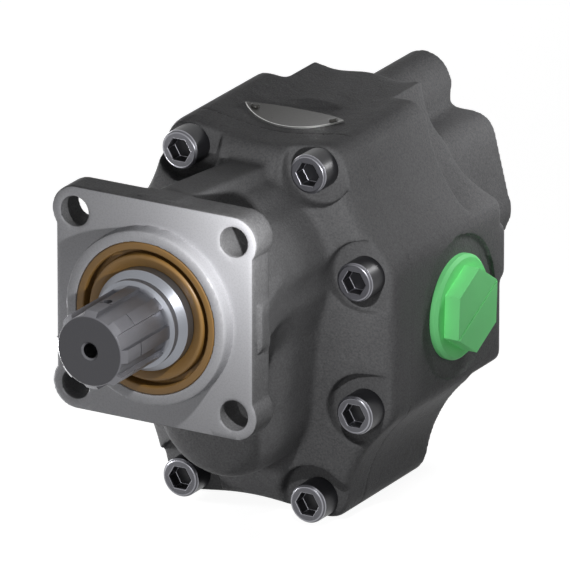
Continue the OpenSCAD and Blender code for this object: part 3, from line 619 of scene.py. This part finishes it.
def plain(name, colour, rough, gloss=0.5, scale=500):
    """Rubber or plastic with a fine grain."""
    p = Paint(name)
    grain = p.noise(scale, 4, 0.6)
    tone = p.noise(scale / 20, 3, 0.6)
    light = tuple(min(1, c * 1.15) for c in colour)
    p.set(Base_Color=p.mix(p.ramp(tone, 0.35, 0.65, 0, 1), colour, light))
    p.set(Roughness=p.ramp(grain, 0.3, 0.7, rough - 0.06, rough + 0.06))
    p.set(Normal=p.bump(grain, 0.00008, 0.4), Specular_IOR_Level=gloss)
    return p


def shaft_steel():
    """Dull hardened steel whose two end faces are darker."""
    p = metal("shaft_steel", (0.15, 0.15, 0.162), 0.36, turned=1.5)
    y = p.xyz()[1]
    ends = p.math("SUBTRACT", 1.0, ahead_of(p, y, (FRONT_TIP + SLACK) * MM))
    ends = p.math("MAXIMUM", ends, ahead_of(p, y, (REAR_TIP - SLACK) * MM))
    ground = ahead_of(p, y, COLLAR_Y * MM)
    steel = p.mix(ground, p.colour(), (0.24, 0.25, 0.275))
    p.set(Base_Color=p.mix(ends, steel, (0.10, 0.10, 0.112)), Metallic=p.ramp(ends, 0, 1, 0.9, 0.2))
    return p


def screw_black():
    """Oiled black screws with painted shade: the sides of the heads are coloured far darker than their
    fronts.
    """
    p = metal("screw_steel", (0.105, 0.105, 0.118), 0.4)
    side = ahead_of(p, p.xyz()[1], (SCREW_FACE_Y + SCREW_SHADE_DEPTH) * MM, 0.0003)
    # Painted shade: behind the front of each head the colour drops to near black.
    p.set(Base_Color=p.mix(side, p.colour(), (0.018, 0.018, 0.021)), Metallic=0.3)
    return p


def plate_sheet():
    """Dark blank face with a painted highlight along the front half of the lens-shaped outline's edge."""
    p = metal("plate_metal", (0.55, 0.55, 0.54), 0.3)
    x, y, z = p.xyz()
    nearest = None
    for side in (-1, 1):
        dy = p.math("SUBTRACT", y, (PLATE_Y + side * (PLATE_ROUND_R - PLATE_WIDTH / 2)) * MM)
        far = p.math("SQRT", p.math("ADD", p.math("MULTIPLY", x, x), p.math("MULTIPLY", dy, dy)))
        nearest = far if nearest is None else p.math("MAXIMUM", nearest, far)
    # Painted highlight: only the front half of the outline's edge is coloured bright and metallic.
    front = p.math("SUBTRACT", 1.0, ahead_of(p, y, PLATE_Y * MM, 0.002))
    rim = p.math("MULTIPLY", ahead_of(p, nearest, (PLATE_ROUND_R - PLATE_HIGHLIGHT_WIDTH) * MM), front)
    p.set(Base_Color=p.mix(rim, (0.062, 0.060, 0.055), p.colour()), Metallic=rim)
    p.set(Specular_IOR_Level=0.15)
    return p


# Pieces


def place(ob, node, *materials):
    """Gives a piece its look and lets it ride and stand for the CAD node."""
    ob.data.materials.clear()
    for material in materials:
        ob.data.materials.append(material)
    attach(ob, frame["nodes"][node]["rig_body"])
    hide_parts(node)


def soften(ob, width):
    """Rounds a piece's hard edges by a width in mm. A third material goes onto them."""
    soft = ob.modifiers.new("soft_edges", "BEVEL")
    soft.width = width * MM
    soft.segments = 2
    soft.limit_method = "ANGLE"
    soft.angle_limit = math.radians(CAD_SHARP)
    soft.harden_normals = True
    soft.material = 2 if len(ob.data.materials) == 3 else -1


def smooth(mesh, angle):
    for face in mesh.faces:
        face.smooth = True
    for edge in mesh.edges:
        edge.smooth = len(edge.link_faces) == 2 and edge.calc_face_angle() < math.radians(angle)


def dress(node, bevel, *materials, inside=None):
    """Copies a CAD node's mesh with soft edges. The test inside(centre) picks the second material's faces."""
    ob = bpy.data.objects.new(node + "_piece", frame["nodes"][node].data.copy())
    bpy.context.scene.collection.objects.link(ob)
    mesh = bmesh.new()
    mesh.from_mesh(ob.data)
    bmesh.ops.remove_doubles(mesh, verts=mesh.verts, dist=1e-6)
    bmesh.ops.dissolve_limit(mesh, angle_limit=math.radians(0.5), verts=mesh.verts, edges=mesh.edges)
    smooth(mesh, CAD_SHARP)
    if inside:
        for face in mesh.faces:
            face.material_index = int(inside(face.calc_center_median() / MM))
    mesh.to_mesh(ob.data)
    mesh.free()
    place(ob, node, *materials)
    soften(ob, bevel)


def lathe(name, profile):
    """Turns a closed [radius, y] profile in mm round the shaft axis."""
    mesh = bmesh.new()
    rings = []
    for i in range(TURNED_FACES):
        turn = 2 * math.pi * i / TURNED_FACES
        u, v = math.cos(turn), math.sin(turn)
        rings.append([mesh.verts.new((r * MM * u, y * MM, r * MM * v)) for r, y in profile])
    for i in range(TURNED_FACES):
        here, after = rings[i], rings[(i + 1) % TURNED_FACES]
        for k in range(len(profile)):
            m = (k + 1) % len(profile)
            mesh.faces.new((here[k], here[m], after[m], after[k]))
    bmesh.ops.recalc_face_normals(mesh, faces=mesh.faces)
    smooth(mesh, TURNED_SHARP)
    data = bpy.data.meshes.new(name)
    mesh.to_mesh(data)
    mesh.free()
    ob = bpy.data.objects.new(name, data)
    bpy.context.scene.collection.objects.link(ob)
    return ob


def arc(centre, r, start, end):
    """Points on an arc in the plane of a profile, angles in degrees from the outward direction."""
    turns = [math.radians(start + (end - start) * i / ARC_STEPS) for i in range(ARC_STEPS + 1)]
    return [(centre[0] + r * math.cos(t), centre[1] + r * math.sin(t)) for t in turns]


def front_seal():
    """Shaft seal with a rounded outer ring, a deep groove and a lip that leans towards the shaft."""
    front, back = SEAL_Y, SEAL_Y + SEAL_WIDTH
    inner, bottom = GROOVE_R - GROOVE_WIDTH, front + GROOVE_DEPTH
    profile = [(SEAL_R, back), (SEAL_R, front + SEAL_EDGE)]
    profile += arc((SEAL_R - SEAL_EDGE, front + SEAL_EDGE), SEAL_EDGE, 0, -90)
    profile += arc((GROOVE_R + SEAL_EDGE, front + SEAL_EDGE), SEAL_EDGE, -90, -180)
    profile += [(GROOVE_R, bottom), (inner, bottom)]
    profile += arc((inner - FOLD_R, front + FOLD_DEPTH), FOLD_R, 0, -110)
    profile += [(LIP_R + LIP_TAPER, front + LIP_TAPER), (LIP_R, front + LIP_START)]
    profile += [(LIP_R, front + LIP_END), (LIP_R + LIP_RELIEF, back)]
    return lathe("front_seal_piece", profile)


def in_socket(at):
    """Whether a face of a cover screw belongs to its hexagon socket."""
    far = min(math.hypot(abs(at.x) - x, at.z - z) for x, z in screw_places())
    return SCREW_FACE_Y + SLACK < at.y < SCREW_SOCKET_Y + SLACK and far < SOCKET_R


# Surroundings

def seen_rays(tree):
    """1 where the camera, a reflection or glass shows the background, and 0 where it lights the part."""
    rays = tree.nodes.new("ShaderNodeLightPath").outputs
    seen = rays["Is Camera Ray"]
    for ray in ("Is Glossy Ray", "Is Transmission Ray"):
        either_ray = tree.nodes.new("ShaderNodeMath")
        either_ray.operation = "MAXIMUM"
        tree.links.new(seen, either_ray.inputs[0])
        tree.links.new(rays[ray], either_ray.inputs[1])
        seen = either_ray.outputs[0]
    return seen


def world():
    """Soft even light that is white where it is seen."""
    studio = bpy.data.worlds.new("studio")
    bpy.context.scene.world = studio
    studio.use_nodes = True
    tree = studio.node_tree
    strength = tree.nodes.new("ShaderNodeMapRange")
    tree.links.new(seen_rays(tree), strength.inputs["Value"])
    strength.inputs["To Min"].default_value = WORLD_LIGHT
    strength.inputs["To Max"].default_value = 1.0
    back = tree.nodes["Background"]
    back.inputs["Color"].default_value = (1, 1, 1, 1)
    tree.links.new(strength.outputs[0], back.inputs["Strength"])


def floor():
    """White floor under the case. It takes the part's shadow and glows where it is seen."""
    mesh = bpy.data.meshes.new("floor")
    z = (DRIVEN_Z - CREST_Z) * MM
    corners = [(x * FLOOR_HALF, y * FLOOR_HALF, z) for x, y in ((-1, -1), (1, -1), (1, 1), (-1, 1))]
    mesh.from_pydata(corners, [], [(0, 1, 2, 3)])
    ob = bpy.data.objects.new("floor", mesh)
    bpy.context.scene.collection.objects.link(ob)
    p = Paint("floor_white")
    glow = p.math("MULTIPLY", seen_rays(p.tree), FLOOR_GLOW)
    p.set(Base_Color=(0.35, 0.35, 0.35, 1), Roughness=0.9, Specular_IOR_Level=0.0)
    p.set(Emission_Color=(1, 1, 1, 1), Emission_Strength=glow)
    mesh.materials.append(p.material)
    ob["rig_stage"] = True


def lamp(name, direction, size, level):
    """Area lamp aimed at the part. A level of 1 lights a white face to white."""
    light = bpy.data.lights.new(name, "AREA")
    light.shape = "DISK"
    light.size = size
    light.energy = level * (math.pi * LAMP_DISTANCE) ** 2
    ob = bpy.data.objects.new(name, light)
    bpy.context.scene.collection.objects.link(ob)
    towards = Vector(direction).normalized()
    ob.location = MIDDLE + towards * LAMP_DISTANCE
    ob.rotation_euler = (-towards).to_track_quat("-Z", "Y").to_euler()


def bulb(name, at, radius, level, distance):
    """Small lamp close to the part, placed in mm. It gives its level at the distance."""
    light = bpy.data.lights.new(name, "POINT")
    light.shadow_soft_size = radius * MM
    light.energy = level * (2 * math.pi * distance * MM) ** 2
    ob = bpy.data.objects.new(name, light)
    bpy.context.scene.collection.objects.link(ob)
    ob.location = Vector(at) * MM
    ob.visible_camera = False


def camera():
    """Looks from the photograph's side and frames the visible pieces."""
    azimuth, elevation = math.radians(CAMERA_AZIMUTH), math.radians(CAMERA_ELEVATION)
    level = math.cos(elevation)
    look = Vector((math.sin(azimuth) * level, -math.cos(azimuth) * level, math.sin(elevation)))
    turn = (-look).to_track_quat("-Z", "Y")
    across, up = turn @ Vector((1, 0, 0)), turn @ Vector((0, 1, 0))
    seen = []
    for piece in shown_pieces():
        for v in list(piece.data.vertices)[::FRAMED_STEP]:
            at = piece.matrix_world @ v.co
            seen.append((at.dot(across), at.dot(up)))
    (left, low), (right, high) = np.min(seen, axis=0), np.max(seen, axis=0)
    cam = bpy.data.cameras.new("camera")
    ob = bpy.data.objects.new("camera", cam)
    bpy.context.scene.collection.objects.link(ob)
    ob.location = across * (left + right) / 2 + up * (low + high) / 2 + look * CAMERA_DISTANCE
    ob.rotation_euler = turn.to_euler()
    cam.lens = cam.sensor_width * CAMERA_DISTANCE / (max(right - left, high - low) * PICTURE_MARGIN)
    cam.clip_end = CAMERA_SIGHT
    bpy.context.scene.camera = ob


# The dressed part: first the materials, then the pieces, then the CAD nodes that stay

steel = shaft_steel().material
screw_steel = screw_black().material
# Painted light: the hexagon sockets of the black screws are coloured pale so that they look lit.
socket_painted_light = metal("socket_painted_light", (0.75, 0.75, 0.79), 0.45, metallic=0.2).material
# Painted highlight: the screws' bevelled edges get a brighter, fully metallic steel.
edge_highlight_steel = metal("edge_highlight_steel", (0.22, 0.22, 0.24), 0.3).material
bronze = metal("bronze", (0.50, 0.33, 0.13), 0.4).material
sheet_metal = plate_sheet().material
brown = plain("brown_seal", (0.20, 0.108, 0.028), 0.42).material
black = plain("black_rubber", (0.02, 0.02, 0.02), 0.6).material
green = plain("green_plastic", (0.23, 0.84, 0.30), 0.55, 0.2, 300).material
finishes = {
    "ground_steel": steel,
    "dark_steel": screw_steel,
    "bearing_bronze": bronze,
    "plate_metal": sheet_metal,
    "brown_rubber": brown,
    "black_rubber": black,
    "green_plastic": green,
}

place(front_cover(), "front_cover", casting_paint("cover_paint", cover_machined))
place(pump_body(), "pump_body", casting_paint("body_paint", body_machined))
place(front_seal(), "front_shaft_seal", brown)
dress("drive_shaft", 0.3, steel)
dress("cover_screws", 0.4, screw_steel, socket_painted_light, edge_highlight_steel, inside=in_socket)
dress("name_plate", 0.25, sheet_metal)
dress("plate_rivets", 0.25, sheet_metal)
dress("left_port_plug", 0.5, green)
dress("right_port_plug", 0.5, green)
for entry in frame["record"]["subparts"]:
    if entry["material_slot"] in finishes:
        cad = frame["nodes"][entry["node"]]
        cad.data.materials.clear()
        cad.data.materials.append(finishes[entry["material_slot"]])

# The photograph's surroundings: white, with a small lamp close to the flange's upper right

world()
floor()
bulb("key", at=(92, -46, 66), radius=2.5, level=1.38, distance=100)
bulb("fill", at=(-170, 5, -75), radius=20, level=0.62, distance=175)
lamp("front", direction=(0.1, -1, 0.15), size=0.5, level=0.13)
bulb("rear", at=(128, 235, 84), radius=20, level=0.45, distance=160)
lamp("side", direction=(0.95, 0.1, 0.25), size=0.8, level=0.06)
lamp("left", direction=(-0.85, 0.5, 0.05), size=0.8, level=0.52)
camera()
bpy.context.scene.view_settings.view_transform = "Standard"
